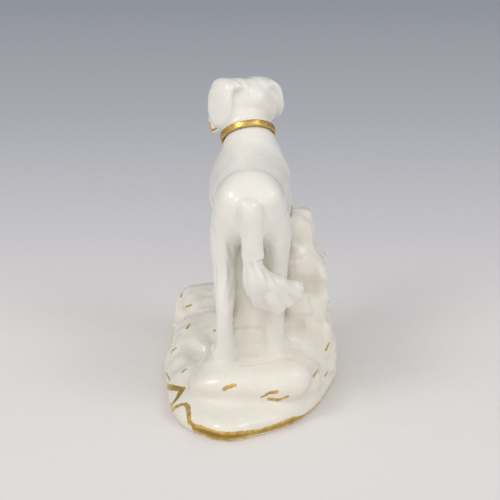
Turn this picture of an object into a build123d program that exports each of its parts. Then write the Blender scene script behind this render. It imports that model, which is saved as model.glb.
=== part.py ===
from build123d import *
import os
from math import cos, pi, sin

from scipy.interpolate import PchipInterpolator

# A standing dog on a rockwork base, in glazed porcelain. Each solid is one moulded piece, as it is stuck
# to its neighbours with slip before the firing. Millimetres, +Z up. The dog faces +Y, its right side is +X,
# and the origin is on the table under the middle of the base.

# Plinth: the shaped slab under the rocks, with both ends drawn to the dog's left
base_length = 154.0
base_width = 82.0
base_skew = 10.0
base_lobes = 8
base_wander = 0.015
rim_height = 3.5
rim_undercut = 1.2
apron_height = 10.0
apron_slope = 13.0
foot_width = 7.0
foot_recess = 1.6

# Rocks: how far the outlines wander, and the share of its full size that a rock has at each share of its height.
# A flat rock carries feet, and a round one closes in a dome. Knobs are the rounded lumps on a rock, each with the
# x, y and z of its middle and its half sizes along them.
outline_points = 20
rock_wander = 0.06
flat_rock = ((1, 0.8), (0.8, 0.94), (0.35, 1.05), (0, 1.0))
round_rock = ((0.8, 0.8), (0.6, 0.96), (0.4, 1.02), (0.2, 1.03), (0, 1.0))
stand_height = 24.0
rear_boulder_x = 2.0
rear_boulder_y = -33.0
rear_boulder_width = 60.0
rear_boulder_length = 52.0
rear_boulder_lobes = 3
rear_boulder_phase = 0.4
rear_boulder_knobs = (
    (0.0, -50.0, 16.0, 27.0, 9.5, 7.8),
    (16.0, -46.0, 20.5, 13.0, 10.0, 5.5),
    (-20.0, -44.0, 13.0, 8.0, 9.0, 8.0),
)
front_boulder_x = 0.0
front_boulder_y = 26.0
front_boulder_width = 54.0
front_boulder_length = 76.0
front_boulder_lobes = 4
front_boulder_phase = 1.3

# Ledges: three shelves down the left side, each higher than the one behind it
ledge_x = -22.0
ledge_y = -18.0
ledge_width = 28.0
ledge_length = 38.0
ledge_pitch = 31.0
ledge_top = 13.0
ledge_rise = 6.5
ledge_lobes = 4
ledge_phase = 1.1
ledge_knobs = (
    ((-28.0, -26.0, 8.6, 9.5, 12.0, 5.8), (-31.0, -13.0, 9.2, 7.5, 11.0, 6.6)),
    ((-31.0, 6.0, 10.5, 7.5, 13.0, 7.5), (-28.0, 17.0, 12.5, 9.0, 10.0, 8.5), (-22.0, -1.0, 12.5, 8.0, 10.0, 8.0)),
    ((-28.0, 49.0, 17.0, 9.0, 12.0, 9.8), (-30.0, 38.0, 12.5, 8.0, 10.0, 9.0), (-20.0, 35.0, 18.0, 8.0, 10.0, 8.5)),
)

# Flank rock: a pile that the dog's right side leans on, with the x, y, width, length and top of each rock in it
flank_rocks = (
    (24.5, -13.0, 30.0, 38.0, 35.0),
    (25.5, 15.0, 29.0, 40.0, 31.0),
    (25.0, 1.0, 25.0, 38.0, 56.0),
    (24.5, 12.0, 21.0, 24.0, 67.0),
    (22.5, 4.0, 17.0, 22.0, 83.0),
)
flank_rock_height = 40.0
flank_lobes = 3
flank_phase = 2.0

# Belly prop: the rock that carries the trunk while it is fired
prop_y = -3.0
prop_foot_width = 21.0
prop_foot_length = 34.0
prop_head_width = 12.0
prop_head_length = 20.0
prop_lobes = 3
prop_phase = 0.9

# Trunk, from the tail to the breast: where each section stands, its top above the soles, its width and depth
dock_reach = -43.5
dock_level = 77.0
buttock_reach = -40.5
buttock_top = 84.5
buttock_width = 24.0
buttock_depth = 24.0
rump_reach = -32.0
rump_top = 89.0
rump_width = 34.0
rump_depth = 36.0
loin_reach = -12.0
loin_top = 81.5
loin_width = 30.5
loin_depth = 29.0
rib_reach = 9.0
rib_top = 84.0
rib_width = 37.0
rib_depth = 39.0
shoulder_reach = 27.0
shoulder_top = 86.0
shoulder_width = 38.6
shoulder_depth = 42.0
breast_reach = 41.0
breast_top = 79.0
breast_width = 28.0
breast_depth = 30.0
breastbone_reach = 48.5
breastbone_level = 63.0

# Neck, collar and the joint that the collar hides
neck_lean = 42.0
neck_turn = 12.0
neck_diameter = 24.0
neck_joint_x = -1.0
neck_joint_reach = 38.5
neck_joint_level = 84.0
neck_root_width = 36.0
neck_root_depth = 40.0
neck_root_sink = 24.0
neck_poll_diameter = 19.0
collar_width = 3.4
collar_thickness = 1.4
collar_bed = 1.5

# Head: turned to the dog's left, bowed and tilted, with its stations along the line from skull to nose
head_turn = 40.0
head_bow = 28.0
head_tilt = 9.0
skull_rise = 17.0
skull_shift = 1.6
skull_width = 24.6
skull_height = 23.6
occiput_length = 13.5
skull_profile = ((-0.8, 0.6), (-0.35, 0.94), (0.2, 0.98))
brow_distance = 9.5
brow_width = 20.4
brow_height = 20.0
brow_drop = 1.2
stop_distance = 15.0
stop_width = 15.6
stop_height = 15.4
stop_drop = 2.8
muzzle_distance = 22.0
muzzle_width = 13.4
muzzle_height = 13.4
muzzle_drop = 3.4
nose_distance = 30.5
nose_width = 10.8
nose_height = 10.4
nose_bluntness = 2.0

# Ears: rooted in the skull, they fold over and hang
ear_root = 6.0
ear_spread = 13.2
ear_rise = 9.0
ear_length = 21.0
ear_flare = 4.0
ear_width = 15.5
ear_thickness = 5.4
ear_profile = ((0.9, 0.66), (0.66, 1.0), (0.33, 0.98), (0, 0.88))

# Sections that a trunk or a leg is drawn through, on smooth curves between the stations below
trunk_sections = 13
leg_sections = 18

# Legs: heights above the soles, how far forward of the sole each section stands, widths and depths
top_inset = 0.65
hind_track = 23.0
hind_reach = -37.0
hind_stride = 8.0
hip_height = 69.0
hip_set = 11.0
hip_width = 12.0
hip_depth = 20.0
thigh_height = 56.0
thigh_set = 10.0
thigh_width = 13.0
thigh_depth = 25.0
stifle_height = 44.0
stifle_set = 7.5
stifle_width = 11.4
stifle_depth = 20.0
gaskin_height = 33.0
gaskin_set = 1.0
gaskin_width = 9.0
gaskin_depth = 13.0
hock_height = 23.0
hock_set = -3.5
hock_width = 7.2
hock_depth = 9.4
fore_track = 23.0
fore_reach = 33.0
fore_stride = 4.0
blade_height = 66.0
blade_set = -7.0
blade_width = 12.0
blade_depth = 13.0
arm_height = 56.0
arm_set = -6.0
arm_width = 13.0
arm_depth = 17.0
elbow_height = 46.0
elbow_set = -6.0
elbow_width = 11.2
elbow_depth = 14.5
forearm_height = 36.0
forearm_set = -5.5
forearm_width = 9.0
forearm_depth = 10.6
shin_height = 26.0
shin_set = -4.5
shin_width = 7.8
shin_depth = 8.8
wrist_height = 17.0
wrist_set = -3.8
wrist_width = 7.2
wrist_depth = 8.2
pastern_height = 9.0
pastern_set = -2.8
pastern_width = 7.0
pastern_depth = 8.0
paw_height = 4.0
paw_width = 9.6
paw_length = 13.4
sole_width = 8.6
sole_length = 12.0

# Tail: hangs from the dock, and its plume sweeps across to the right hock
tail_x = 1.0
tail_root_reach = -38.0
tail_root_level = 73.0
tail_bend_reach = -44.5
tail_bend_level = 67.0
tail_hang_reach = -47.0
tail_hang_level = 55.0
plume_neck_x = 2.5
plume_neck_reach = -45.0
plume_neck_level = 43.0
plume_x = 10.0
plume_reach = -43.0
plume_level = 34.0
plume_tip_x = 22.5
plume_tip_reach = -36.0
plume_tip_level = 37.0
tail_root_thickness = 9.5
tail_thickness = 9.0
plume_neck_thickness = 16.0
plume_thickness = 19.0
plume_depth = 13.0
plume_end_share = 0.6


def wandering_face(half_width, half_length, lobes, wander, phase, skew=0):
    """A closed outline that wanders in from an ellipse, as a rock's edge does."""
    points = []
    for step in range(outline_points):
        angle = 2 * pi * step / outline_points
        swell = 1 + wander * (cos(lobes * angle + phase) - 1)
        shift = -skew * sin(angle) ** 2
        points.append((half_width * swell * cos(angle) + shift, half_length * swell * sin(angle)))
    with BuildSketch() as outline:
        with BuildLine():
            Spline(*points, periodic=True)
        make_face()
    return outline.sketch


def rock(x, y, width, length, foot, crown, lobes, phase, profile):
    """A boulder from its foot level to its crown level, closed by a point where its profile stops short."""
    sections = [Vertex(x, y, crown)] if profile[0][0] < 1 else []
    for share, size in profile:
        with BuildSketch(Plane((x, y, foot + share * (crown - foot)))) as section:
            add(wandering_face(size * width / 2, size * length / 2, lobes, rock_wander, phase))
        sections.append(section.sketch)
    with BuildPart() as boulder:
        loft(sections)
    return boulder.part


def knob(x, y, z, half_width, half_length, half_height):
    """A rounded lump of rock."""
    with BuildPart() as stone:
        Sphere(1)
        scale(by=(half_width, half_length, half_height))
    return Pos(x, y, z) * stone.part


def eased(stations, count):
    """Evenly spaced stations on smooth curves through the given ones, which may stand unevenly."""
    rows = sorted(stations)
    curves = PchipInterpolator([row[0] for row in rows], rows)
    first = rows[0][0]
    span = rows[-1][0] - first
    return [tuple(map(float, curves(first + span * step / (count - 1)))) for step in range(count)]


def leg(stations, track, reach, stride):
    """A leg lofted through level ellipses, from a flat sole up into the trunk."""
    top = max(height for height, *sizes in stations)
    inset = {height: top_inset if height == top else 1 for height, *sizes in stations}
    with BuildPart() as limb:
        for height, set_forward, width, depth, spread in eased(
            [(*station, inset[station[0]]) for station in stations], leg_sections
        ):
            step = stride * (1 - height / top)
            with BuildSketch(Plane((track / 2 * spread, reach + set_forward + step, stand_height + height))):
                Ellipse(width / 2, depth / 2)
        loft()
    return limb.part


def swept_lock(points, stations, flat):
    """A soft tapering form along a curve, closed at its tip: shares of the way, sizes along flat and across it."""
    with BuildLine() as spine:
        Spline(*points)
    tip = spine.line @ 1
    sections = [Vertex(tip.X, tip.Y, tip.Z)]
    for share, breadth, thickness in stations:
        with BuildSketch(Plane(spine.line @ share, x_dir=flat, z_dir=spine.line % share)) as section:
            Ellipse(breadth / 2, thickness / 2)
        sections.append(section.sketch)
    with BuildPart() as lock:
        loft(sections)
    return lock.part


# Plinth
with BuildPart() as plinth:
    for level, inset in ((0, rim_undercut), (rim_height, 0), (apron_height, apron_slope)):
        with BuildSketch(Plane.XY.offset(level)):
            add(wandering_face(base_width / 2 - inset, base_length / 2 - inset, base_lobes, base_wander, 0, base_skew))
    loft()
    with BuildSketch():
        recess_inset = rim_undercut + foot_width
        add(
            wandering_face(
                base_width / 2 - recess_inset,
                base_length / 2 - recess_inset,
                base_lobes,
                base_wander,
                0,
                base_skew,
            )
        )
    extrude(amount=foot_recess, mode=Mode.SUBTRACT)
plinth.part.label = "plinth"

# Trunk, with the lower neck up to the collar
neck_axis = Vector(0, 0, 1).rotate(Axis.X, -neck_lean).rotate(Axis.Z, neck_turn)
neck_joint = Plane(
    (neck_joint_x, neck_joint_reach, stand_height + neck_joint_level), x_dir=(1, 0, 0), z_dir=neck_axis
)
trunk_stations = (
    (dock_reach, dock_level, 0, 0),
    (buttock_reach, buttock_top, buttock_width, buttock_depth),
    (rump_reach, rump_top, rump_width, rump_depth),
    (loin_reach, loin_top, loin_width, loin_depth),
    (rib_reach, rib_top, rib_width, rib_depth),
    (shoulder_reach, shoulder_top, shoulder_width, shoulder_depth),
    (breast_reach, breast_top, breast_width, breast_depth),
    (breastbone_reach, breastbone_level, 0, 0),
)
with BuildPart() as torso:
    sections = [Vertex(0, dock_reach, stand_height + dock_level)]
    for reach, top, width, depth in eased(trunk_stations, trunk_sections)[1:-1]:
        upright = Plane((0, reach, stand_height + top - depth / 2), x_dir=(1, 0, 0), z_dir=(0, 1, 0))
        with BuildSketch(upright) as section:
            Ellipse(width / 2, depth / 2)
        sections.append(section.sketch)
    sections.append(Vertex(0, breastbone_reach, stand_height + breastbone_level))
    loft(sections)
    with BuildSketch(neck_joint.offset(-neck_root_sink)) as neck_root:
        Ellipse(neck_root_width / 2, neck_root_depth / 2)
    with BuildSketch(neck_joint.offset(-neck_root_sink / 2)) as neck_middle:
        Ellipse((neck_root_width + neck_diameter) / 4, (neck_root_depth + neck_diameter) / 4)
    with BuildSketch(neck_joint) as neck_top:
        Circle(neck_diameter / 2)
    loft([neck_root.sketch, neck_middle.sketch, neck_top.sketch])
torso.part.label = "torso"

# Head, with the upper neck down to the collar
head_axis = Vector(0, 1, 0).rotate(Axis.X, -head_bow).rotate(Axis.Z, head_turn)
head_left = Vector(-1, 0, 0).rotate(Axis.Y, head_tilt).rotate(Axis.X, -head_bow).rotate(Axis.Z, head_turn)
head_level = Vector(0, 1, 0).rotate(Axis.Z, head_turn)
skull_centre = neck_joint.origin + neck_axis * skull_rise + Vector(skull_shift, 0, 0)
skull = Plane(skull_centre, x_dir=head_axis.cross(head_left), z_dir=head_axis)
head_stations = [
    *((along * occiput_length, skull_width * fill, skull_height * fill, 0) for along, fill in skull_profile),
    (brow_distance, brow_width, brow_height, brow_drop),
    (stop_distance, stop_width, stop_height, stop_drop),
    (muzzle_distance, muzzle_width, muzzle_height, muzzle_drop),
    (nose_distance - nose_bluntness, nose_width, nose_height, muzzle_drop),
]
with BuildPart() as head:
    occiput = skull.offset(-occiput_length).origin
    sections = [Vertex(occiput.X, occiput.Y, occiput.Z)]
    for distance, width, height, drop in head_stations:
        with BuildSketch(skull.offset(distance)) as section:
            with Locations((-drop, 0)):
                Ellipse(height / 2, width / 2)
        sections.append(section.sketch)
    nose_tip = skull.from_local_coords(Vector(-muzzle_drop, 0, nose_distance))
    sections.append(Vertex(nose_tip.X, nose_tip.Y, nose_tip.Z))
    loft(sections)
    with BuildSketch(neck_joint) as nape:
        Circle(neck_diameter / 2)
    with BuildSketch(neck_joint.offset(skull_rise)) as poll:
        Circle(neck_poll_diameter / 2)
    loft([nape.sketch, poll.sketch])
head.part.label = "head"


def ear(side):
    """A hanging ear, rooted inside the skull on one side (+1 is the dog's left)."""
    points = [
        skull_centre + head_left * side * spread + Vector(0, 0, rise)
        for spread, rise in (
            (ear_root, ear_rise),
            (ear_spread, ear_rise),
            (ear_spread + ear_flare * 2 / 3, ear_rise - ear_length / 2),
            (ear_spread + ear_flare, ear_rise - ear_length),
        )
    ]
    stations = [(share, ear_width * fill, ear_thickness) for share, fill in ear_profile]
    return swept_lock(points, stations, head_level)


with BuildPart() as left_ear:
    add(ear(1))
    add(head.part, mode=Mode.SUBTRACT)
left_ear.part.label = "left_ear"

with BuildPart() as right_ear:
    add(ear(-1))
    add(head.part, mode=Mode.SUBTRACT)
right_ear.part.label = "right_ear"

# Collar: a raised strap over the joint of head and neck
with BuildPart() as collar:
    with BuildSketch(neck_joint):
        Circle(neck_diameter / 2 + collar_thickness)
        Circle(neck_diameter / 2 - collar_bed, mode=Mode.SUBTRACT)
    extrude(amount=collar_width / 2, both=True)
    strap_edges = collar.edges().filter_by(GeomType.CIRCLE).group_by(SortBy.RADIUS)[-1]
    fillet(strap_edges, collar_thickness / 2)
    add(torso.part, mode=Mode.SUBTRACT)
    add(head.part, mode=Mode.SUBTRACT)
collar.part.label = "collar"

# Legs: each starts inside the trunk, and the trunk is cut out of it
foot_stations = (
    (pastern_height, pastern_set, pastern_width, pastern_depth),
    (paw_height, 0, paw_width, paw_length),
    (0, 0, sole_width, sole_length),
)
hind_stations = (
    (hip_height, hip_set, hip_width, hip_depth),
    (thigh_height, thigh_set, thigh_width, thigh_depth),
    (stifle_height, stifle_set, stifle_width, stifle_depth),
    (gaskin_height, gaskin_set, gaskin_width, gaskin_depth),
    (hock_height, hock_set, hock_width, hock_depth),
    *foot_stations,
)
fore_stations = (
    (blade_height, blade_set, blade_width, blade_depth),
    (arm_height, arm_set, arm_width, arm_depth),
    (elbow_height, elbow_set, elbow_width, elbow_depth),
    (forearm_height, forearm_set, forearm_width, forearm_depth),
    (shin_height, shin_set, shin_width, shin_depth),
    (wrist_height, wrist_set, wrist_width, wrist_depth),
    *foot_stations,
)

with BuildPart() as left_hind_leg:
    add(leg(hind_stations, -hind_track, hind_reach, 0))
    add(torso.part, mode=Mode.SUBTRACT)
left_hind_leg.part.label = "left_hind_leg"

with BuildPart() as right_hind_leg:
    add(leg(hind_stations, hind_track, hind_reach, hind_stride))
    add(torso.part, mode=Mode.SUBTRACT)
right_hind_leg.part.label = "right_hind_leg"

with BuildPart() as left_foreleg:
    add(leg(fore_stations, -fore_track, fore_reach, fore_stride))
    add(torso.part, mode=Mode.SUBTRACT)
left_foreleg.part.label = "left_foreleg"

with BuildPart() as right_foreleg:
    add(leg(fore_stations, fore_track, fore_reach, 0))
    add(torso.part, mode=Mode.SUBTRACT)
right_foreleg.part.label = "right_foreleg"

# Tail
tail_points = (
    (tail_x, tail_root_reach, stand_height + tail_root_level),
    (tail_x, tail_bend_reach, stand_height + tail_bend_level),
    (tail_x, tail_hang_reach, stand_height + tail_hang_level),
    (plume_neck_x, plume_neck_reach, stand_height + plume_neck_level),
    (plume_x, plume_reach, stand_height + plume_level),
    (plume_tip_x, plume_tip_reach, stand_height + plume_tip_level),
)
tail_stations = (
    (0.93, plume_depth * plume_end_share, plume_thickness * plume_end_share),
    (0.78, plume_depth, plume_thickness),
    (0.62, plume_neck_thickness, plume_neck_thickness),
    (0.45, tail_thickness, tail_thickness),
    (0.2, tail_root_thickness, tail_root_thickness),
    (0, tail_root_thickness, tail_root_thickness),
)
with BuildPart() as tail:
    add(swept_lock(tail_points, tail_stations, (0, 1, 0)))
    add(torso.part, mode=Mode.SUBTRACT)
    add(right_hind_leg.part, mode=Mode.SUBTRACT)
tail.part.label = "tail"

# Boulders under the hind and fore feet, cut to the slab and to each other
with BuildPart() as rear_boulder:
    add(
        rock(
            rear_boulder_x,
            rear_boulder_y,
            rear_boulder_width,
            rear_boulder_length,
            rim_height,
            stand_height,
            rear_boulder_lobes,
            rear_boulder_phase,
            flat_rock,
        )
    )
    for lump in rear_boulder_knobs:
        add(knob(*lump))
    add(plinth.part, mode=Mode.SUBTRACT)
rear_boulder.part.label = "rear_boulder"

with BuildPart() as front_boulder:
    add(
        rock(
            front_boulder_x,
            front_boulder_y,
            front_boulder_width,
            front_boulder_length,
            rim_height,
            stand_height,
            front_boulder_lobes,
            front_boulder_phase,
            flat_rock,
        )
    )
    add(plinth.part, mode=Mode.SUBTRACT)
    add(rear_boulder.part, mode=Mode.SUBTRACT)
front_boulder.part.label = "front_boulder"

# Ledges
ledges = []
for step, name in enumerate(("rear_ledge", "middle_ledge", "front_ledge")):
    with BuildPart() as ledge:
        add(
            rock(
                ledge_x,
                ledge_y + step * ledge_pitch,
                ledge_width,
                ledge_length,
                rim_height,
                ledge_top + step * ledge_rise,
                ledge_lobes,
                step * ledge_phase,
                flat_rock,
            )
        )
        for lump in ledge_knobs[step]:
            add(knob(*lump))
        for neighbour in (plinth, rear_boulder, front_boulder, left_foreleg, *ledges):
            add(neighbour.part, mode=Mode.SUBTRACT)
    ledge.part.label = name
    ledges.append(ledge)

# Flank rock
with BuildPart() as flank_rock:
    for step, (x, y, width, length, top) in enumerate(flank_rocks):
        foot = max(rim_height, top - flank_rock_height)
        add(rock(x, y, width, length, foot, top, flank_lobes, step * flank_phase, round_rock))
    for neighbour in (plinth, rear_boulder, front_boulder, torso, right_hind_leg, right_foreleg):
        add(neighbour.part, mode=Mode.SUBTRACT)
flank_rock.part.label = "flank_rock"

# Belly prop
with BuildPart() as belly_prop:
    with BuildSketch(Plane((0, prop_y, stand_height))):
        add(wandering_face(prop_foot_width / 2, prop_foot_length / 2, prop_lobes, rock_wander, prop_phase))
    with BuildSketch(Plane((0, prop_y, stand_height + loin_top - loin_depth / 2))):
        add(wandering_face(prop_head_width / 2, prop_head_length / 2, prop_lobes, rock_wander, prop_phase))
    loft()
    for neighbour in (torso, flank_rock):
        add(neighbour.part, mode=Mode.SUBTRACT)
belly_prop.part.label = "belly_prop"

os.makedirs("parts", exist_ok=True)
for piece in (
    plinth,
    rear_boulder,
    front_boulder,
    *ledges,
    flank_rock,
    belly_prop,
    torso,
    head,
    left_ear,
    right_ear,
    collar,
    left_hind_leg,
    right_hind_leg,
    left_foreleg,
    right_foreleg,
    tail,
):
    export_step(piece.part, f"parts/{piece.part.label}.step")
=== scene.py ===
import math

import bpy
import numpy as np
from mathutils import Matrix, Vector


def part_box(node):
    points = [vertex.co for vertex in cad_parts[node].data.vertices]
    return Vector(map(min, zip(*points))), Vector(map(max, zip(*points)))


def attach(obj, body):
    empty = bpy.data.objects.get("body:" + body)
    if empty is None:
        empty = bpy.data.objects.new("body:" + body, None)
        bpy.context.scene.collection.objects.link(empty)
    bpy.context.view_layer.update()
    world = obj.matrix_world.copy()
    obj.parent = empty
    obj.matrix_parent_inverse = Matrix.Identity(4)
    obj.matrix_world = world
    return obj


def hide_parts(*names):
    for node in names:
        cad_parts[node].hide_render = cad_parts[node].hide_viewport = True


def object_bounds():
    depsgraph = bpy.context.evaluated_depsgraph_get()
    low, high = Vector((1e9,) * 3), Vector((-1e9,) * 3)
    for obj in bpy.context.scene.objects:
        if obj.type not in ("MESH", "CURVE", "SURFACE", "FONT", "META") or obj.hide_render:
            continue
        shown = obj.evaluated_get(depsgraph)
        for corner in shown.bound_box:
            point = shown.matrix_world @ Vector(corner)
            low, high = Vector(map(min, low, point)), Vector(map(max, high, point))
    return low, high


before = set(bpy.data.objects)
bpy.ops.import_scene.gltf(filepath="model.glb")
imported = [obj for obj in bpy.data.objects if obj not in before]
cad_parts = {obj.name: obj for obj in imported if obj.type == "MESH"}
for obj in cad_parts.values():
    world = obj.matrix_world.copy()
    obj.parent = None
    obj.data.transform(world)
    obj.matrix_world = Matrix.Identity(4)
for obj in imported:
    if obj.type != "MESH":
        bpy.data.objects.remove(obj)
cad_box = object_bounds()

import openvdb
from mathutils import Vector
from mathutils.bvhtree import BVHTree

# A white porcelain dog on a rockwork base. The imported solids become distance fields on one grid. These are carved,
# run together as slip does, and the surface is cut back into one closed piece for each node.
# Lengths are millimetres until a mesh is written.
MM = 1000.0
VOXEL = 0.6  # spacing of the grid
BAND = 12  # reach of a distance field, in voxels
PAD = 5.0  # room round the CAD box
SOFTENED_MARGIN = 6  # room round a piece whose edges are rounded
GRID_NOISE_GAIN = 2.4  # brings the spline noise to about -1 to 1
NOISE_TABLE = 64  # lattice points along each axis before point_noise repeats
SIDES = (1, -1)  # left, right

DOG = ["torso", "head", "left_ear", "right_ear", "left_hind_leg", "right_hind_leg", "left_foreleg",
       "right_foreleg", "tail"]
ROCKS = ["plinth", "rear_boulder", "front_boulder", "rear_ledge", "middle_ledge", "front_ledge", "flank_rock",
         "belly_prop"]
PIECES = DOG + ROCKS


def add_object(name, data):
    """A new object in the scene."""
    item = bpy.data.objects.new(name, data)
    bpy.context.scene.collection.objects.link(item)
    return item


# The camera, at the photo's angle.
VIEW_ELEVATION = math.radians(20.0)
VIEW_DISTANCE = 900.0
FOCAL_PX = 1915.0
IMAGE_PX = 500.0
RISE_PX = 6.0
SENSOR = 36.0
TARGET = np.array([0.0, 0.0, 60.0])
VIEW_UP = np.array([0.0, math.sin(VIEW_ELEVATION), math.cos(VIEW_ELEVATION)])
VIEW_AXIS = np.array([0.0, math.cos(VIEW_ELEVATION), -math.sin(VIEW_ELEVATION)])
EYE = TARGET + VIEW_UP * (RISE_PX / FOCAL_PX * VIEW_DISTANCE) - VIEW_AXIS * VIEW_DISTANCE


def pixel_ray(u, v):
    """The direction from the eye through a pixel of the 500 px frame."""
    half = IMAGE_PX / 2
    ray = VIEW_AXIS * FOCAL_PX + np.array([1.0, 0, 0]) * (u - half) + VIEW_UP * (half - v)
    return ray / np.linalg.norm(ray)


camera_data = bpy.data.cameras.new("camera")
camera_data.sensor_width = SENSOR
camera_data.sensor_height = SENSOR
camera_data.sensor_fit = "HORIZONTAL"
camera_data.angle = 2 * math.atan(IMAGE_PX / 2 / FOCAL_PX)
camera_data.clip_start = 0.05
camera_data.clip_end = 20.0
camera = add_object("camera", camera_data)
camera.location = Vector(EYE / MM)
camera.rotation_euler = (math.pi / 2 - VIEW_ELEVATION, 0, 0)
bpy.context.scene.camera = camera

# The grid, and ways to shape the fields on it.
low = np.array(cad_box[0]) * MM
high = np.array(cad_box[1]) * MM
CORNER = np.floor((low - PAD) / VOXEL).astype(int)
SHAPE = np.ceil((high + PAD) / VOXEL).astype(int) - CORNER + 1
GRID_START = tuple(int(i) for i in CORNER)
GX = ((CORNER[0] + np.arange(SHAPE[0])) * VOXEL).astype(np.float32)[:, None, None]
GY = ((CORNER[1] + np.arange(SHAPE[1])) * VOXEL).astype(np.float32)[None, :, None]
GZ = ((CORNER[2] + np.arange(SHAPE[2])) * VOXEL).astype(np.float32)[None, None, :]


def node_field(name):
    """Signed distance to a CAD solid on the whole grid, held at the band's width further off."""
    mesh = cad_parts[name].data
    mesh.calc_loop_triangles()
    corners = np.empty(len(mesh.vertices) * 3, np.float32)
    mesh.vertices.foreach_get("co", corners)
    triangles = np.empty(len(mesh.loop_triangles) * 3, np.int32)
    mesh.loop_triangles.foreach_get("vertices", triangles)
    grid = openvdb.FloatGrid.createLevelSetFromPolygons(
        corners.reshape(-1, 3) * MM,
        triangles=triangles.reshape(-1, 3),
        transform=openvdb.createLinearTransform(VOXEL),
        halfWidth=BAND,
    )
    field = np.full(SHAPE, BAND * VOXEL, np.float32)
    grid.copyToArray(field, ijk=GRID_START)
    return field


def smooth_min(a, b, radius):
    """The union of two fields, with a fillet of about that radius where they meet."""
    blend = np.maximum(radius - np.abs(a - b), 0) / radius
    return np.minimum(a, b) - blend * blend * radius / 4


def part_of(centre, reach):
    """Slices of the grid within reach of a point, and how far the grid lies from the point there."""
    cuts = []
    for middle, half, corner, size in zip(centre, np.broadcast_to(reach, 3), CORNER, SHAPE):
        first = int((middle - half) / VOXEL - corner)
        last = int((middle + half) / VOXEL - corner) + 2
        cuts.append(slice(max(first, 0), min(last, size)))
    offsets = (GX[cuts[0]] - centre[0], GY[:, cuts[1]] - centre[1], GZ[:, :, cuts[2]] - centre[2])
    return tuple(cuts), offsets


def lump(field, centre, radii, fillet, carve=False, axes=None):
    """Adds an ellipsoid to a field, or carves it out. Axes are rows of unit vectors."""
    cuts, local = part_of(centre, max(radii) + 3 * fillet + 1)
    if axes is not None:
        x, y, z = local
        local = tuple(x * a[0] + y * a[1] + z * a[2] for a in axes)
    k0 = np.sqrt(sum((c / r) ** 2 for c, r in zip(local, radii)))
    k1 = np.sqrt(sum((c / (r * r)) ** 2 for c, r in zip(local, radii)))
    ball = np.where(k1 > 1e-6, k0 * (k0 - 1) / np.maximum(k1, 1e-6), -min(radii)).astype(np.float32)
    if carve:
        field[cuts] = -smooth_min(-field[cuts], ball, fillet)
    else:
        field[cuts] = smooth_min(field[cuts], ball, fillet)


def slab(field, centre, half, rounding, fillet, lean):
    """Adds a block with rounded edges to a field. Its top leans down towards +x by an angle in degrees."""
    cuts, (x, y, z) = part_of(centre, max(half) * 1.5 + 3 * fillet)
    c, n = math.cos(math.radians(lean)), math.sin(math.radians(lean))
    local = (x * c - z * n, y, x * n + z * c)
    past = [np.abs(value) - (size - rounding) for value, size in zip(local, half)]
    outside = np.sqrt(sum(np.maximum(value, 0) ** 2 for value in past))
    inside = np.minimum(np.maximum(np.maximum(past[0], past[1]), past[2]), 0)
    field[cuts] = smooth_min(field[cuts], (outside + inside - rounding).astype(np.float32), fillet)


def node_box(name):
    """The lowest and highest corners of a node in millimetres."""
    return tuple(np.array(corner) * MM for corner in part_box(name))


def averaged(part, reach):
    """A field averaged over a small cube, twice."""
    count = max(int(round(reach / VOXEL)), 1)
    span = 2 * count + 1
    part = part.astype(np.float64)
    for axis in (0, 1, 2, 0, 1, 2):
        padding = [(0, 0)] * 3
        padding[axis] = (count + 1, count)
        total = np.cumsum(np.pad(part, padding, mode="edge"), axis=axis)
        size = part.shape[axis]
        part = (np.take(total, range(span, span + size), axis) - np.take(total, range(size), axis)) / span
    return part.astype(np.float32)


def soften(name, reach):
    """Rounds a piece's edges and fills its creases."""
    least, most = node_box(name)
    cuts = part_of((least + most) / 2, (most - least) / 2 + SOFTENED_MARGIN)[0]
    fields[name][cuts] = averaged(fields[name][cuts], reach)


def axis_weights(coords, spacing):
    """Cubic spline weights of a lattice along one axis."""
    t = coords.ravel() / spacing
    base = np.floor(t).astype(int)
    f = t - base
    first = base.min() - 1
    weights = np.zeros((len(t), base.max() - first + 3), np.float32)
    rows = np.arange(len(t))
    splines = ((1 - f) ** 3 / 6, (3 * f**3 - 6 * f * f + 4) / 6, (-3 * f**3 + 3 * f * f + 3 * f + 1) / 6, f**3 / 6)
    for k, weight in enumerate(splines):
        weights[rows, base - first - 1 + k] = weight
    return weights


def grid_noise(spacing, seed):
    """Smooth noise on the whole grid, about -1 to 1, with a lattice spacing for each axis."""
    wx, wy, wz = (axis_weights(c, s) for c, s in zip((GX, GY, GZ), spacing))
    lattice = np.random.default_rng(seed).uniform(-1, 1, (wx.shape[1], wy.shape[1], wz.shape[1]))
    out = np.tensordot(wx, lattice.astype(np.float32), (1, 0))
    out = np.tensordot(out, wy, (1, 1))
    out = np.tensordot(out, wz, (1, 1))
    return out * GRID_NOISE_GAIN


def ramp(value, start, end):
    """Smooth step from 0 to 1."""
    t = np.clip((value - start) / (end - start), 0, 1)
    return t * t * (3 - 2 * t)


SOFTENING = {
    "torso": 2.4, "flank_rock": 2.0, "rear_boulder": 2.4, "front_boulder": 2.4, "rear_ledge": 2.4,
    "middle_ledge": 2.6, "front_ledge": 2.6, "belly_prop": 2.0, "left_hind_leg": 0.6, "right_hind_leg": 0.6,
    "left_foreleg": 0.6, "right_foreleg": 0.6,
}
fields = {name: node_field(name) for name in PIECES}
for name, reach in SOFTENING.items():
    soften(name, reach)

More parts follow.
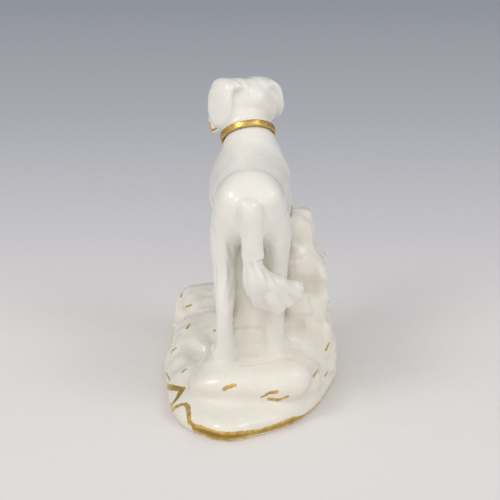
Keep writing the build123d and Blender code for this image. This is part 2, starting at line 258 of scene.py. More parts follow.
# The head. Its forms are placed forward, left and up from the middle of the skull.
SKULL_SHARES = (0.6082, 0.4826, 0.6280)
TURN, BOW, TILT = (math.radians(angle) for angle in (40.0, 28.0, 9.0))
FORWARD = np.array([-math.sin(TURN) * math.cos(BOW), math.cos(TURN) * math.cos(BOW), -math.sin(BOW)])
level_left = np.array([-math.cos(TURN), -math.sin(TURN), 0])
LEFT = level_left * math.cos(TILT) + np.cross(FORWARD, level_left) * math.sin(TILT)
CROWN = np.cross(FORWARD, LEFT)
HEAD_AXES = (FORWARD, LEFT, CROWN)
head_low, head_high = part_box("head")
SKULL = np.array([a + share * (b - a) for a, b, share in zip(head_low, head_high, SKULL_SHARES)]) * MM

# Each form's place, radii, fillet, and whether it is carved out.
FACE_PAIRS = (
    ((10.5, 6.4, 6.0), (4.2, 3.4, 2.0), 2.0, False),  # brows
    ((13.8, 7.4, 2.2), (2.8, 2.2, 2.2), 1.4, True),  # eye sockets
    ((13.0, 6.6, 2.3), (2.0, 2.0, 2.0), 0.5, False),  # eyeballs
    ((12.8, 7.2, 4.5), (2.8, 1.4, 0.8), 0.8, False),  # eyelids
    ((7.0, 8.4, -4.0), (6.0, 3.2, 5.0), 3.0, False),  # cheeks
    ((0.0, 10.0, -2.0), (8.0, 4.0, 9.0), 4.0, False),  # skull under the ears
    ((22.5, 3.8, -5.8), (6.0, 2.6, 2.8), 1.6, False),  # lips
)
FACE_MIDDLE = (
    ((17.5, 0, 6.0), (7.0, 2.0, 1.3), 2.0, True),  # furrow between the brows
    ((22.5, 0, -7.2), (9.0, 9.0, 0.45), 0.5, True),  # mouth
    ((20.0, 0, -8.0), (7.0, 3.6, 1.4), 1.2, False),  # lower jaw
    ((31.0, 0, -10.8), (10.5, 10.0, 3.6), 0.8, True),  # receding chin
    ((36.0, 0, -2.0), (9.0, 16, 16), 2.5, True),  # end of the muzzle
)
MUZZLE_SIDE = ((28.0, 10.4, -3.0), (7.0, 4.8, 9.0), 2.0, True)
NOSE = ((25.7, 0, -4.8), (3.2, 5.0, 3.2), 0.8, False)
NOSTRIL = ((28.6, 2.2, -5.1), (1.2, 0.9, 0.8), 0.4, True)


def on_head(forward, left, up):
    """A point by its place on the head."""
    return SKULL + FORWARD * forward + LEFT * left + CROWN * up


def shape_head(form, side=1):
    """Gives the head one form, on its left side or mirrored."""
    (forward, left, up), radii, fillet, carve = form
    lump(fields["head"], on_head(forward, side * left, up), radii, fillet, carve, HEAD_AXES)


for side in SIDES:
    for form in FACE_PAIRS:
        shape_head(form, side)
for form in FACE_MIDDLE:
    shape_head(form)
for side in SIDES:
    shape_head(MUZZLE_SIDE, side)
shape_head(NOSE)
for side in SIDES:
    shape_head(NOSTRIL, side)

# The right ear hangs less far down than its solid.
EAR_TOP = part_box("right_ear")[1][2] * MM
EAR_SHORTER = 1.22
levels = GZ.ravel()
under = np.maximum(EAR_TOP - levels, 0)
over = np.maximum(levels - EAR_TOP, 0)
source = (EAR_TOP - under * EAR_SHORTER + over) / VOXEL - CORNER[2]
below = np.clip(np.floor(source).astype(int), 0, SHAPE[2] - 2)
share = (source - below).clip(0, 1).astype(np.float32)
ear = fields["right_ear"]
fields["right_ear"] = ear[:, :, below] * (1 - share) + ear[:, :, below + 1] * share

# Haunches, a thicker tail, and a hollow under the tip of its plume.
for haunch in ((-7.6, -38, 101.5), (8.8, -38, 101.8)):
    lump(fields["torso"], haunch, (5, 6, 5), 4.0)
lump(fields["tail"], (1.0, -46.3, 80), (4.9, 4.4, 16), 2.0)
lump(fields["tail"], (17.5, -42, 43.5), (8.5, 11, 6.5), 2.5, True)

# Four toes on each paw: the line of their middles, then each toe's place across the paw and behind that line.
TOE_LINES = {"left_hind_leg": -32.0, "right_hind_leg": -24.0, "left_foreleg": 42.2, "right_foreleg": 38.2}
TOES = ((-4.3, 1.2), (-1.5, 0.0), (1.5, 0.0), (4.3, 1.2))
TOE_RADII = (1.75, 3.8, 2.7)
TOE_LEVEL = 2.4
for name, toe_line in TOE_LINES.items():
    least, most = node_box(name)
    for across, back in TOES:
        centre = ((least[0] + most[0]) / 2 + across, toe_line - back, least[2] + TOE_LEVEL)
        lump(fields[name], centre, TOE_RADII, 0.5)

# Blocks of rock: centre, half sizes, rounding, fillet and lean.
BLOCKS = {
    "flank_rock": (
        ((22.2, 2, 67), (7.6, 11, 11), 3.0, 2.5, 0.0),
        ((22.3, 4.5, 77.0), (6.8, 7, 7.6), 4.0, 2.0, 16.0),
        ((26.4, -0.5, 46), (8.8, 19.5, 16), 5.0, 3.0, 4.0),
        ((28.3, -2.5, 27), (9.5, 23.5, 9), 4.0, 3.0, 0.0),
        ((22.6, -14, 38), (6.4, 13, 15), 4.0, 3.0, 0.0),
        ((17.5, -19, 30), (5.0, 9, 9), 3.0, 3.0, 0.0),
        ((20.0, -11, 56), (4.6, 9.5, 10), 3.5, 3.0, 0.0),
    ),
    "belly_prop": (
        ((-1.3, -21, 35), (7.4, 16, 10.5), 3.0, 3.0, 0.0),
        ((0.6, -25, 58), (9.0, 9.5, 19), 4.0, 4.0, 0.0),
    ),
}
# Rounded rocks, and clefts carved into them: centre, radii, fillet, and whether it is carved out.
KNOBS = {
    "flank_rock": (
        ((22.3, -1, 75.6), (6.8, 9.5, 8.4), 4.0, False),
        ((27, -4, 57), (8.5, 14, 10.5), 4.0, False),
        ((21.4, -9.4, 65), (1.1, 1.6, 7.0), 1.6, True),
        ((27, -20.4, 48.5), (7, 1.4, 0.7), 1.2, True),
        ((35, 0, 52), (3.0, 8.0, 0.8), 1.2, True),
    ),
    "belly_prop": (
        ((-1, -37.2, 31.0), (9, 1.4, 0.7), 1.0, True),
        ((-1, -37.2, 38.5), (9, 1.4, 0.7), 1.0, True),
    ),
}
for name, blocks in BLOCKS.items():
    for block in blocks:
        slab(fields[name], *block)
    for knob in KNOBS[name]:
        lump(fields[name], *knob)
HOLLOW_AXES = ((0.97, 0.24, 0), (-0.24, 0.97, 0), (0, 0, 1))
lump(fields["rear_boulder"], (-1, -41.5, 25.5), (12, 4.6, 2.8), 2.5, True, HOLLOW_AXES)

# The fused surface.
FILLETS = {
    "torso": 0.5, "head": 2.0, "left_ear": 5.0, "right_ear": 5.0, "left_hind_leg": 8.0, "right_hind_leg": 8.0,
    "left_foreleg": 7.0, "right_foreleg": 7.0, "tail": 2.6 + 1.4 * ramp(GZ, 84, 98),
    "plinth": 0.5, "rear_boulder": 2.5, "front_boulder": 4.0, "rear_ledge": 5.0, "middle_ledge": 6.0,
    "front_ledge": 6.0, "flank_rock": 2.5, "belly_prop": 3.0,
}
SLIP_FILLET = 1.4
HEEL_FILLET = 2.4
CREVICE_REACH, CREVICE_LEVEL, CREVICE_FILLET = 3.6, 0.4, 1.5


def fuse(names):
    """The blended union of some pieces."""
    total = fields[names[0]].copy()
    for name in names[1:]:
        total = smooth_min(total, fields[name], FILLETS[name])
    return total


def ridges(spacing, seed):
    """Noise with sharp valleys, which stand out as ridges on broken rock."""
    return np.abs(grid_noise(spacing, seed)) - 0.3


nearest = np.full(SHAPE, 1e3, np.float32)
owner = np.zeros(SHAPE, np.int8)
for index, name in enumerate(PIECES):
    closer = fields[name] < nearest
    nearest[closer] = fields[name][closer]
    owner[closer] = index

# Narrow crevices are filled, as slip and glaze fill them.
rocks = fuse(ROCKS)
rocks = smooth_min(rocks, averaged(rocks, CREVICE_REACH) + CREVICE_LEVEL, CREVICE_FILLET)
lump(rocks, (-37.0, 34, 16.5), (7.0, 6.5, 4.0), 2.0, True)  # notch in the front ledge
# Broad breaks, small breaks and grain. The rear boulder is worn, and the left and right rocks are roughest.
rugged = ridges((13, 13, 10), 1) * 1.8 + ridges((5.5, 5.5, 4.5), 2) * 0.8
rugged += grid_noise((3, 3, 2.6), 3) * 0.16
rugged *= 1 - 0.8 * ramp(fields["rear_boulder"], 4, 0)
broken = rugged * (0.75 + 0.25 * ramp(GX, -4, -12) + 0.45 * ramp(GX, 14, 20))
broken += grid_noise((14, 14, 11), 4) * 0.5
broken += grid_noise((6.5, 6.5, 22), 6) * ramp(GZ, 34, 46) * 1.1  # upright folds of the rock pile
# The breaks fade on the plinth and towards the table.
apron = np.maximum(ramp(fields["plinth"], 0.5, 5.0), 0.18)
rocks += broken * apron * ramp(GZ, 1.5, 9.0)
dog = fuse(DOG)
for groove in ((-5.1, -49.2, 93.5), (6.9, -48.0, 93.5)):
    lump(dog, groove, (1.1, 2.0, 9.0), 1.6, True)  # beside the root of the tail
# The slip lies thicker round the hind feet.
heel = ramp(GY - 8.0 * ramp(GX, -2, 4), -33.0, -39.0) * ramp(GZ, 46, 34)
whole = smooth_min(dog, rocks, SLIP_FILLET + HEEL_FILLET * heel)

surface_grid = openvdb.FloatGrid(BAND * VOXEL)
surface_grid.copyFromArray(whole, ijk=GRID_START)
surface_grid.transform = openvdb.createLinearTransform(VOXEL)
points, quads = surface_grid.convertToQuads(0.0)
points = points.astype(np.float64)
quads = quads.astype(np.int64)
links = np.concatenate([quads[:, [i, (i + 1) % 4]] for i in range(4)])
link_count = np.bincount(links[:, 0], minlength=len(points)) + np.bincount(links[:, 1], minlength=len(points))


def cells(places):
    """The grid's cells nearest to some points."""
    index = np.clip(np.rint(places / VOXEL).astype(int) - CORNER, 0, SHAPE - 1)
    return index[:, 0], index[:, 1], index[:, 2]


def at_points(field):
    """A grid's values at the surface points."""
    return field[cells(points)]


def point_normals(places):
    """The surface's normals, from the faces round each point."""
    a, b, c, d = (places[quads[:, i]] for i in range(4))
    face = np.cross(c - a, d - b)
    out = np.zeros_like(places)
    for i in range(4):
        np.add.at(out, quads[:, i], face)
    return out / np.maximum(np.linalg.norm(out, axis=1, keepdims=True), 1e-9)


def neighbour_mean(values):
    """The mean of a value over each point's neighbours."""
    if values.ndim == 2:
        return np.stack([neighbour_mean(values[:, i]) for i in range(values.shape[1])], 1)
    total = np.bincount(links[:, 0], values[links[:, 1]], len(points))
    total += np.bincount(links[:, 1], values[links[:, 0]], len(points))
    return total / link_count


def point_noise(lattice, seed):
    """Smooth noise at points given in lattice units, -1 to 1."""
    table = np.random.default_rng(seed).uniform(-1, 1, (NOISE_TABLE,) * 3)
    base = np.floor(lattice).astype(int)
    f = lattice - base
    f = f * f * (3 - 2 * f)
    out = np.zeros(len(lattice))
    for corner in range(8):
        offset = np.array([corner & 1, corner >> 1 & 1, corner >> 2 & 1])
        cell = (base + offset) % NOISE_TABLE
        weight = np.prod(np.where(offset, f, 1 - f), axis=1)
        out += weight * table[cell[:, 0], cell[:, 1], cell[:, 2]]
    return out


SMOOTHING_PASSES = 2
BEND_PASSES = 6
BORDER_PASSES = 12
STRAY_PASSES = 8
for _ in range(SMOOTHING_PASSES):
    points += 0.5 * (neighbour_mean(points) - points)

# Hair. The plume's locks fan out from a point on the tail.
FAN_X, FAN_Z = -2.0, 84.0
FAN_TOP = 76.0
normals = point_normals(points)
x, y, z = points.T
on_dog = ramp(at_points(rocks) - at_points(dog), 0.4, 1.8)


def near(name, reach=2.0):
    """How surely a point belongs to a piece, 0 to 1."""
    return ramp(at_points(fields[name]), reach, 0.3) * on_dog


def hair(across, along, depth, seed):
    """Strands along a flow over the surface, -1 to 1."""
    return point_noise(np.stack([across, along, depth], 1), seed)


angle = np.arctan2(x - FAN_X, FAN_Z - z)
radius = np.hypot(x - FAN_X, FAN_Z - z)
fan = np.where(z < FAN_TOP, angle * 30.0, x)
along = np.where(z < FAN_TOP, radius, FAN_Z - z + 20)
locks = np.abs(hair(fan / 4.2, along / 16.0, np.full_like(y, 0.5), 11))
strands = hair(fan / 1.5, along / 9.0, y / 9.0, 12)
plume = ramp(z, 84, 68)
height = near("tail") * ((locks - 0.3) * 2.2 * plume + strands * (0.14 + 0.46 * plume))
for name in ("left_hind_leg", "right_hind_leg"):
    # Feathering down the back of the leg
    feather = near(name, 3.0) * ramp(z, 42, 56) * ramp(z, 104, 88) * ramp(normals[:, 1], 0.4, -0.5)
    wave = x + 1.2 * np.sin(z / 6.0)
    height += feather * 0.65 * hair(wave / 1.7, z / 11.0, y / 8.0, 13)
for name in ("left_ear", "right_ear"):
    across = x * 0.7 + y * 0.7 + np.sin(z / 3.4)
    height += near(name) * 0.34 * hair(across / 1.9, z / 7.0, y / 9.0, 14)
coat = near("torso", 1.0) * ramp(z, 76, 84)
flow = y * 0.82 + z * 0.45 + 0.8 * np.sin(x / 4.0)
height += coat * 0.05 * hair(flow / 1.5, (z * 0.85 - y * 0.5) / 9.0, x / 6.0, 15)
height += near("head", 1.0) * 0.14 * point_noise(points / 3.2, 16)
height += on_dog * 0.16 * point_noise(points / 9.0, 17)
points += normals * height[:, None]
points[:, 2] = np.maximum(points[:, 2], 0.0)

normals = point_normals(points)
# How far the surface bends, above 0 in hollows.
bend = np.einsum("ij,ij->i", neighbour_mean(points) - points, normals)
for _ in range(BEND_PASSES):
    bend = 0.5 * bend + 0.5 * neighbour_mean(bend)

# Each face goes to the piece whose solid is nearest, with smooth borders and no stray patches.
label = at_points(owner).astype(int)
every_face = np.arange(len(quads))
votes = np.zeros((len(quads), len(PIECES)), np.int8)
for i in range(4):
    votes[every_face, label[quads[:, i]]] += 1
face_label = votes.argmax(1)
edge_key = np.sort(links, axis=1)
edge_id = np.unique(edge_key[:, 0] * len(points) + edge_key[:, 1], return_inverse=True)[1].ravel()
order = np.argsort(edge_id, kind="stable")
face_of_link = np.tile(every_face, 4)
starts = np.searchsorted(edge_id[order], np.arange(edge_id.max() + 1))
counts = np.diff(np.append(starts, len(order)))
pairs = np.stack([face_of_link[order[starts]], face_of_link[order[starts + np.minimum(counts, 2) - 1]]], 1)
for _ in range(BORDER_PASSES):
    votes = np.zeros((len(quads), len(PIECES)), np.int16)
    np.add.at(votes, (pairs[:, 0], face_label[pairs[:, 1]]), 2)
    np.add.at(votes, (pairs[:, 1], face_label[pairs[:, 0]]), 2)
    votes[every_face, face_label] += 3
    face_label = votes.argmax(1)


def islands(labels):
    """Connected patches of faces with the same label."""
    group = every_face.copy()
    same = pairs[labels[pairs[:, 0]] == labels[pairs[:, 1]]]
    while True:
        least = group.copy()
        np.minimum.at(least, same[:, 0], group[same[:, 1]])
        np.minimum.at(least, same[:, 1], group[same[:, 0]])
        least = least[least]
        if (least == group).all():
            return group
        group = least


for _ in range(STRAY_PASSES):
    group = islands(face_label)
    size = np.bincount(group, minlength=len(quads))
    largest = []
    for index in range(len(PIECES)):
        own = np.unique(group[face_label == index])
        if len(own):
            largest.append(own[size[own].argmax()])
    keep = np.isin(group, largest)
    if keep.all():
        break
    border = pairs[keep[pairs[:, 0]] != keep[pairs[:, 1]]]
    stray = np.where(keep[border[:, 0]], border[:, 1], border[:, 0])
    kept = np.where(keep[border[:, 0]], border[:, 0], border[:, 1])
    for lost in np.unique(group[stray]):
        face_label[group == lost] = np.bincount(face_label[kept[group[stray] == lost]]).argmax()

# Gilding, nose and eyes, as distances that the glaze's material reads.
UNPAINTED = 9.0
# The zigzag, the dash and the pair of dashes: pixels of the photo's view, then the width at each end.
STROKES = (
    ([(164, 386), (173, 388), (182, 389)], 3.0, 3.4),
    ([(182, 390), (177, 398), (171, 406), (172, 410)], 3.2, 2.4),
    ([(172, 410), (176, 407), (181, 404.5), (185, 404), (187.5, 406), (188.5, 412), (189, 422)], 2.0, 2.6),
    ([(189, 422), (195, 427), (202, 432), (212, 437)], 2.2, 3.0),
    ([(224, 389), (229, 387), (235, 385)], 1.9, 1.5),
    ([(262, 397), (269, 393), (277, 392)], 1.1, 1.5),
    ([(268, 399), (279, 400), (289, 396)], 1.5, 1.1),
)
FINE_STROKES = (
    [(181, 297), (182, 293)], [(186, 307), (191, 305)], [(187, 328), (190, 324)], [(214, 331), (217, 329)],
    [(171, 352), (176, 348)], [(182, 372), (186, 369)], [(166, 373), (170, 380)], [(326, 350), (329, 343)],
    [(313, 377), (318, 370)], [(325, 376), (328, 371)],
)
FINE_WIDTHS = (1.2, 0.9)
STEPS_PER_PIXEL = 5
# Strokes on the hidden rocks: bearing in degrees, level and rise.
HIDDEN_STROKES = ((25, 22, 3), (60, 14, -4), (75, 18, 3), (100, 16, 4), (118, 12, -3), (140, 18, 3), (160, 14, -3),
                  (5, 40, 4), (352, 24, -4), (12, 14, 3))
HIDDEN_HALF_WIDTHS = (0.65, 0.45)
HIDDEN_TURN = 0.9  # degrees for each step along a stroke
OUTSIDE = 200  # a ray to the rocks starts this far out
# The gilt edge: bearing in radians and half the band's width there.
RIM_WIDTHS = ((-2.4, 0.6), (-2.0, 1.9), (-1.86, 2.5), (-1.64, 2.3), (-1.5, 1.3), (-1.4, 1.7), (-1.26, 1.9),
              (-1.14, 0.7), (-0.9, 0.6))
RIM_TOP = 6.0
RIM_LEVEL, RIM_RISE = 1.9, 0.52  # level of the band's middle, and its rise with half the width
RIM_WAVE, RIM_WAVES = 0.35, 23  # the band wavers away from the near end
NEAR_BEARING, NEAR_SPREAD = -1.62, 0.75  # the end of the base nearest the camera
NOSE_PAINT = (25.5, 1.1, -4.8)
NOSE_PAINT_RADII = (5.0, 6.7, 3.9)
EYE_PAINT = (14.4, 7.9, 2.3)
EYE_PAINT_RADIUS = 1.6

tree = BVHTree.FromPolygons([Vector(p) for p in points], quads.tolist())
gilt = np.full(len(points), UNPAINTED)
on_rock = at_points(dog) > at_points(rocks)


def surface_at(u, v):
    """The surface point seen at a pixel of the photo's view."""
    hit = tree.ray_cast(Vector(EYE), Vector(pixel_ray(u, v)))
    return None if hit[0] is None else np.array(hit[0])


def gild(places, half_width):
    """Lays a brush stroke of gold along some points of the surface."""
    reach = np.max(half_width) + 3.0
    close = (points > np.min(places, 0) - reach).all(1) & (points < np.max(places, 0) + reach).all(1)
    close = np.flatnonzero(close & on_rock)
    for place, width in zip(places, half_width):
        apart = np.linalg.norm(points[close] - place, axis=1) - width
        gilt[close] = np.minimum(gilt[close], apart)


def stroke(pixels, start_width, end_width):
    """A brush stroke through pixels of the photo's view, its widths in millimetres."""
    places = []
    for (u0, v0), (u1, v1) in zip(pixels[:-1], pixels[1:]):
        steps = int(math.hypot(u1 - u0, v1 - v0) * STEPS_PER_PIXEL) + 1
        for step in range(steps + 1):
            place = surface_at(u0 + (u1 - u0) * step / steps, v0 + (v1 - v0) * step / steps)
            if place is not None:
                places.append(place)
    gild(places, np.linspace(start_width, end_width, len(places)) / 2)


for pixels, start_width, end_width in STROKES:
    stroke(pixels, start_width, end_width)
for pixels in FINE_STROKES:
    stroke(pixels, *FINE_WIDTHS)
for turn, level, rise in HIDDEN_STROKES:
    places = []
    for step in range(-3, 4):
        heading = math.radians(turn + step * HIDDEN_TURN)
        out = np.array([math.cos(heading), math.sin(heading), 0])
        start = out * OUTSIDE + np.array([0, 0, level + rise * step / 6])
        hit = tree.ray_cast(Vector(start), Vector(-out))
        if hit[0] is not None:
            places.append(np.array(hit[0]))
    gild(places, np.linspace(*HIDDEN_HALF_WIDTHS, len(places)))

bearing = np.arctan2(points[:, 1], points[:, 0])
near_end = np.clip(1 - np.abs(bearing - NEAR_BEARING) / NEAR_SPREAD, 0, 1)
half_band = np.interp(bearing, *zip(*RIM_WIDTHS))
band_level = RIM_LEVEL + RIM_RISE * half_band
waver = RIM_WAVE * np.sin(bearing * RIM_WAVES) * (1 - near_end)
band = np.abs(points[:, 2] - band_level - waver) - half_band
outward = normals[:, 0] * np.cos(bearing) + normals[:, 1] * np.sin(bearing) > -0.2
zigzag_start, zigzag_end = (math.atan2(p[1], p[0]) for p in (surface_at(173, 407), surface_at(192, 424)))
clear = (bearing < zigzag_start) | (bearing > zigzag_end)
rim = (points[:, 2] < RIM_TOP) & outward & (normals[:, 2] > -0.85) & clear
gilt = np.where(rim, np.minimum(gilt, band), gilt)

local = (points - on_head(*NOSE_PAINT)) @ np.stack(HEAD_AXES).T
nose = np.linalg.norm(local / np.array(NOSE_PAINT_RADII), axis=1) - 1.0
eyes = np.full(len(points), UNPAINTED)
for side in SIDES:
    eye = on_head(EYE_PAINT[0], side * EYE_PAINT[1], EYE_PAINT[2])
    eyes = np.minimum(eyes, np.linalg.norm(points - eye, axis=1) - EYE_PAINT_RADIUS)

# One closed mesh for each piece. Caps under the fused surface close it: each ring's share of the way to the middle,
# and its depth.
CAP_RINGS = ((0.03, 0.8), (0.2, 1.6), (0.45, 2.0), (0.75, 2.0))
CAP_DEPTH = 2.0
SINK_STEPS, SINK_PACE = 8, 0.7
# What the material reads at each point, and the value on a cap.
LAYERS = (("gilt", gilt, UNPAINTED), ("nose", nose, UNPAINTED), ("eyes", eyes, UNPAINTED), ("bend", bend, 0.0),
          ("stone", 1 - on_dog, 1.0))
slope = np.gradient(whole, VOXEL)


def rims(faces):
    """Loops of open edges of a patch of faces, each as a list of points."""
    edges = np.concatenate([faces[:, [i, (i + 1) % 4]] for i in range(4)])
    have = set(map(tuple, edges.tolist()))
    after = {}
    for a, b in have:
        if (b, a) not in have:
            after.setdefault(b, []).append(a)
    loops = []
    while after:
        start = next(iter(after))
        loop = [start]
        while True:
            nexts = after[loop[-1]]
            here = nexts.pop()
            if not nexts:
                del after[loop[-1]]
            if here == start:
                break
            loop.append(here)
        loops.append(loop)
    return loops


def sink(places, depth):
    """Moves points under the fused surface, to at least that depth where there is room."""
    for _ in range(SINK_STEPS):
        cell = cells(places)
        lack = np.maximum(whole[cell] + depth, 0)
        places = places - np.stack([part[cell] for part in slope], 1) * lack[:, None] * SINK_PACE
    return places


def build_piece(name, index, material):
    """A node's share of the surface, closed by caps, with its paint and material."""
    faces = quads[face_label == index]
    polygons = faces.tolist()
    caps = []
    for loop in rims(faces):
        edge = points[loop]
        hub = edge.mean(0)
        count = len(loop)
        ring = list(loop)
        for share, depth in CAP_RINGS:
            start = len(points) + len(caps)
            caps.extend(sink(edge + (hub - edge) * share, depth))
            inner = list(range(start, start + count))
            polygons += [[ring[i], ring[(i + 1) % count], inner[(i + 1) % count], inner[i]] for i in range(count)]
            ring = inner
        caps.extend(sink(hub[None], CAP_DEPTH))
        centre = len(points) + len(caps) - 1
        polygons += [[ring[i], ring[(i + 1) % count], centre] for i in range(count)]
    used = np.unique(np.concatenate([np.ravel(polygon) for polygon in polygons]).astype(int))
    where = {int(old): new for new, old in enumerate(used)}
    places = np.concatenate([points, np.reshape(caps, (-1, 3))])[used] / MM
    mesh = bpy.data.meshes.new(name + "_glazed")
    mesh.from_pydata(places.tolist(), [], [[where[i] for i in polygon] for polygon in polygons])
    mesh.polygons.foreach_set("use_smooth", np.ones(len(polygons), bool))
    outer = used[used < len(points)]
    for key, values, hidden in LAYERS:
        layer = mesh.attributes.new(key, "FLOAT", "POINT")
        values = np.concatenate([values[outer], np.full(len(caps), hidden)])
        layer.data.foreach_set("value", values.astype(np.float32))
    plain = np.empty(len(used) * 3, np.float32)
    mesh.vertex_normals.foreach_get("vector", plain)
    cap_normals = plain.reshape(-1, 3)[len(outer):]
    mesh.normals_split_custom_set_from_vertices(np.concatenate([normals[outer], cap_normals]).tolist())
    mesh.materials.append(material)
    piece = add_object(name + "_glazed", mesh)
    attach(piece, "root")
    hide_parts(name)


class Nodes:
    """A material, with short names for making its shader nodes."""

    def __init__(self, name):
        self.material = bpy.data.materials.new(name)
        self.material.use_nodes = True
        self.tree = self.material.node_tree
        self.shader = self.tree.nodes["Principled BSDF"]

    def new(self, kind):
        return self.tree.nodes.new("ShaderNode" + kind)

    def put(self, socket, value):
        if isinstance(value, bpy.types.NodeSocket):
            self.tree.links.new(value, socket)
        else:
            socket.default_value = value

    def set(self, key, value):
        self.put(self.shader.inputs[key], value)

    def noise(self, scale, detail=3.0, rough=0.5, stretch=(1, 1, 1)):
        mapping = self.new("Mapping")
        mapping.inputs["Scale"].default_value = stretch
        self.put(mapping.inputs["Vector"], self.new("TexCoord").outputs["Object"])
        node = self.new("TexNoise")
        for key, value in (("Vector", mapping.outputs["Vector"]), ("Scale", scale), ("Detail", detail),
                           ("Roughness", rough)):
            self.put(node.inputs[key], value)
        return node.outputs["Fac"]

    def attribute(self, name):
        node = self.new("Attribute")
        node.attribute_name = name
        return node.outputs["Fac"]

    def math(self, kind, a, b):
        node = self.new("Math")
        node.operation = kind
        self.put(node.inputs[0], a)
        self.put(node.inputs[1], b)
        return node.outputs[0]

    def span(self, value, a, b, c=0.0, d=1.0):
        node = self.new("MapRange")
        node.interpolation_type = "SMOOTHSTEP"
        for key, number in (("Value", value), ("From Min", a), ("From Max", b), ("To Min", c), ("To Max", d)):
            self.put(node.inputs[key], number)
        return node.outputs["Result"]

    def mix(self, share, a, b, kind="RGBA", blend="MIX"):
        node = self.new("Mix")
        node.data_type = kind
        node.blend_type = blend
        for key, value in (("Factor", share), ("A", a), ("B", b)):
            self.put(node.inputs[key], value)
        return node.outputs["Result"]

    def bump(self, value, depth):
        node = self.new("Bump")
        node.inputs["Strength"].default_value = 1.0
        node.inputs["Distance"].default_value = depth
        self.put(node.inputs["Height"], value)
        self.set("Normal", node.outputs["Normal"])


# White glaze over the whole figure, with darker cream in the hollows that is partly pooled glaze and partly painted
# shade, specks, and painted gold, nose and eyes.
GOLD = (0.52, 0.32, 0.07, 1)
GOLD_PALE = (0.76, 0.53, 0.17, 1)
GOLD_DEEP = (0.34, 0.21, 0.045, 1)
GOLD_RUBBED = (0.74, 0.66, 0.50, 1)
BODY, BODY_PALE = (0.79, 0.755, 0.695, 1), (0.83, 0.80, 0.745, 1)
STONE, STONE_PALE = (0.78, 0.735, 0.645, 1), (0.82, 0.78, 0.70, 1)
# Darker cream for the hollows: partly glaze pooled there, partly painted shade.
POOLED_GLAZE_AND_SHADE = (0.66, 0.60, 0.49, 1)
SPECK = (0.45, 0.38, 0.28, 1)
NOSE_TAN = (0.68, 0.42, 0.18, 1)
EYE_BROWN = (0.035, 0.022, 0.014, 1)

glaze = Nodes("glaze")
mottle = glaze.noise(70.0, 4.0, 0.55)
body = glaze.mix(glaze.span(mottle, 0.3, 0.7), BODY, BODY_PALE)
stone = glaze.mix(glaze.span(mottle, 0.3, 0.7), STONE, STONE_PALE)
body = glaze.mix(glaze.attribute("stone"), body, stone)
# Hollows are darkened towards that cream: partly pooled glaze, partly painted shade where shade falls in them.
hollow_pool_and_shade = glaze.span(glaze.attribute("bend"), 0.004, 0.07)
body = glaze.mix(glaze.math("MULTIPLY", hollow_pool_and_shade, 0.30), body, POOLED_GLAZE_AND_SHADE)
specks = glaze.span(glaze.noise(900.0, 1.0), 0.74, 0.78)
body = glaze.mix(glaze.math("MULTIPLY", specks, 0.25), body, SPECK)
ragged = glaze.math("MULTIPLY", glaze.math("SUBTRACT", glaze.noise(700.0, 3.0), 0.5), 1.1)
nose_share = glaze.span(glaze.math("ADD", glaze.attribute("nose"), glaze.math("MULTIPLY", ragged, 0.3)), 0.1, -0.1)
body = glaze.mix(nose_share, body, NOSE_TAN)
eye_share = glaze.span(glaze.math("ADD", glaze.attribute("eyes"), glaze.math("MULTIPLY", ragged, 0.2)), 0.12, -0.12)
body = glaze.mix(eye_share, body, EYE_BROWN)
gold_share = glaze.span(glaze.math("ADD", glaze.attribute("gilt"), ragged), 0.16, -0.16)
worn = glaze.span(glaze.noise(420.0, 5.0, 0.7), 0.60, 0.72)
gold_share = glaze.math("MULTIPLY", gold_share, glaze.math("SUBTRACT", 1.0, glaze.math("MULTIPLY", worn, 0.6)))
leaf = glaze.mix(glaze.span(glaze.noise(260.0, 3.0), 0.35, 0.65), GOLD, GOLD_PALE)
worked = glaze.math("ADD", glaze.attribute("gilt"), glaze.math("MULTIPLY", glaze.noise(120.0, 3.0), 2.4))
leaf = glaze.mix(glaze.span(worked, 0.5, -1.1), leaf, GOLD_DEEP)
glaze.set("Base Color", glaze.mix(gold_share, body, leaf))
glaze.set("Metallic", glaze.math("MULTIPLY", gold_share, 0.6))
glaze.set("Roughness", glaze.mix(gold_share, glaze.span(mottle, 0.2, 0.8, 0.10, 0.18), 0.32, "FLOAT"))
glaze.bump(glaze.noise(260.0, 3.0), 0.00016)
glaze.set("Subsurface Weight", 0.12)
glaze.set("Subsurface Radius", (0.004, 0.003, 0.002))
glaze.set("Subsurface Scale", 0.6)
glaze.set("IOR", 1.48)

gold = Nodes("gilding")
streak = gold.noise(500.0, 4.0, 0.6, (0.25, 0.25, 1.0))
rub = gold.span(gold.noise(260.0, 4.0, 0.65), 0.56, 0.70)
tone = gold.mix(gold.span(streak, 0.3, 0.7), GOLD, GOLD_PALE)
gold.set("Base Color", gold.mix(gold.math("MULTIPLY", rub, 0.35), tone, GOLD_RUBBED))
gold.set("Metallic", gold.span(rub, 0, 1, 0.95, 0.7))
gold.set("Roughness", gold.span(streak, 0.2, 0.8, 0.22, 0.38))
gold.bump(streak, 0.00012)

for index, name in enumerate(PIECES):
    build_piece(name, index, glaze.material)
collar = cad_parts["collar"]
collar.data.materials.clear()
collar.data.materials.append(gold.material)

# The stage, in metres: a sheet of paper that sweeps up behind the figure. Its colour is painted darker with
# distance, which is painted shade standing in for the light falling off.
SHEET_FRONT, SHEET_TOP, SHEET_HALF_WIDTH = -3.0, 4.0, 4.0
SWEEP_START, SWEEP_RADIUS, SWEEP_STEPS = 1.2, 0.9, 40
# Colour stops along the sheet: the paper's colour with painted shade that darkens it with distance.
PAPER_AND_FALLOFF_SHADE = ((0.04, (0.81, 0.78, 0.755)), (0.20, (0.66, 0.64, 0.66)), (0.45, (0.47, 0.485, 0.52)),
         (0.80, (0.355, 0.37, 0.41)))
PAPER_OFFSET, PAPER_LENGTH = 0.2, 1.1

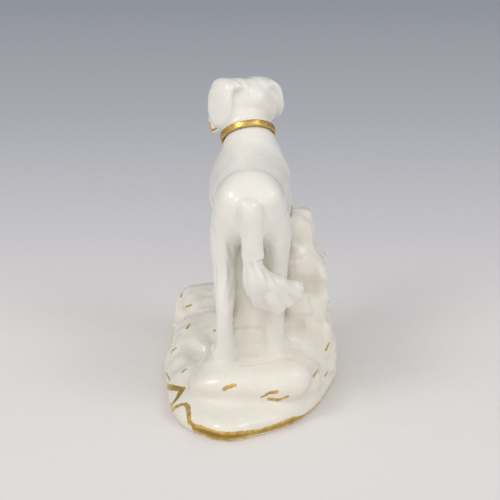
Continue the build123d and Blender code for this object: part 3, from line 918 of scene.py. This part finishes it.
profile = [(SHEET_FRONT, 0.0)]
for step in range(SWEEP_STEPS + 1):
    angle = step / SWEEP_STEPS * math.pi / 2
    profile.append((SWEEP_START + SWEEP_RADIUS * math.sin(angle), SWEEP_RADIUS * (1 - math.cos(angle))))
profile.append((SWEEP_START + SWEEP_RADIUS, SHEET_TOP))
sheet_points = [(x, y, z) for y, z in profile for x in (-SHEET_HALF_WIDTH, SHEET_HALF_WIDTH)]
sheet_faces = [(2 * i, 2 * i + 1, 2 * i + 3, 2 * i + 2) for i in range(len(profile) - 1)]
floor_mesh = bpy.data.meshes.new("floor")
floor_mesh.from_pydata(sheet_points, [], sheet_faces)
floor_mesh.polygons.foreach_set("use_smooth", np.ones(len(sheet_faces), bool))
add_object("floor", floor_mesh)

paper = Nodes("paper")
split = paper.new("SeparateXYZ")
paper.put(split.inputs[0], paper.new("TexCoord").outputs["Object"])
depth = paper.math("DIVIDE", paper.math("ADD", split.outputs["Y"], PAPER_OFFSET), PAPER_LENGTH)
# This ramp paints the shade of the light's falloff into the paper's colour.
shade = paper.new("ValToRGB")
paper.put(shade.inputs["Fac"], depth)
stops = shade.color_ramp.elements
for where, colour in PAPER_AND_FALLOFF_SHADE:
    stop = stops.new((where + PAPER_OFFSET) / PAPER_LENGTH)
    stop.color = (*colour, 1)
stops.remove(stops[0])
stops.remove(stops[-1])
fibre = paper.span(paper.noise(180.0, 5.0, 0.6), 0.3, 0.7, 0.985, 1.0)
grey = paper.new("CombineColor")
for i in range(3):
    paper.put(grey.inputs[i], fibre)
paper.set("Base Color", paper.mix(1.0, shade.outputs["Color"], grey.outputs["Color"], blend="MULTIPLY"))
paper.set("Roughness", 0.85)
floor_mesh.materials.append(paper.material)

# Soft light: a bright room behind the camera, and two softboxes.
ROOM_COLOUR = (0.98, 0.99, 1.0, 1)
ROOM_FALL = (("From Min", -0.6), ("From Max", 1.0), ("To Min", 1.02), ("To Max", 0.25))
LAMP_COLOUR = (1.0, 0.98, 0.95)
LAMP_SIZE = 0.45
LAMP_AIM = Vector((0, 0, 0.06))

world = bpy.data.worlds.new("studio")
bpy.context.scene.world = world
world.use_nodes = True
room = world.node_tree
background = room.nodes["Background"]
around = room.nodes.new("ShaderNodeTexCoord")
axes = room.nodes.new("ShaderNodeSeparateXYZ")
room.links.new(around.outputs["Generated"], axes.inputs[0])
fall = room.nodes.new("ShaderNodeMapRange")
for key, number in ROOM_FALL:
    fall.inputs[key].default_value = number
room.links.new(axes.outputs["Y"], fall.inputs["Value"])
background.inputs["Color"].default_value = ROOM_COLOUR
room.links.new(fall.outputs["Result"], background.inputs["Strength"])


def softbox(name, place, watts):
    """A square lamp aimed at the figure."""
    data = bpy.data.lights.new(name, "AREA")
    data.shape = "RECTANGLE"
    data.size = data.size_y = LAMP_SIZE
    data.energy = watts
    data.color = LAMP_COLOUR
    lamp = add_object(name, data)
    lamp.location = Vector(place)
    lamp.rotation_euler = (LAMP_AIM - Vector(place)).to_track_quat("-Z", "Y").to_euler()


softbox("left_box", (-0.8, -0.5, 1.1), 3.6)
softbox("right_box", (0.8, -0.4, 1.1), 2.0)

bpy.context.scene.view_settings.view_transform = "Standard"
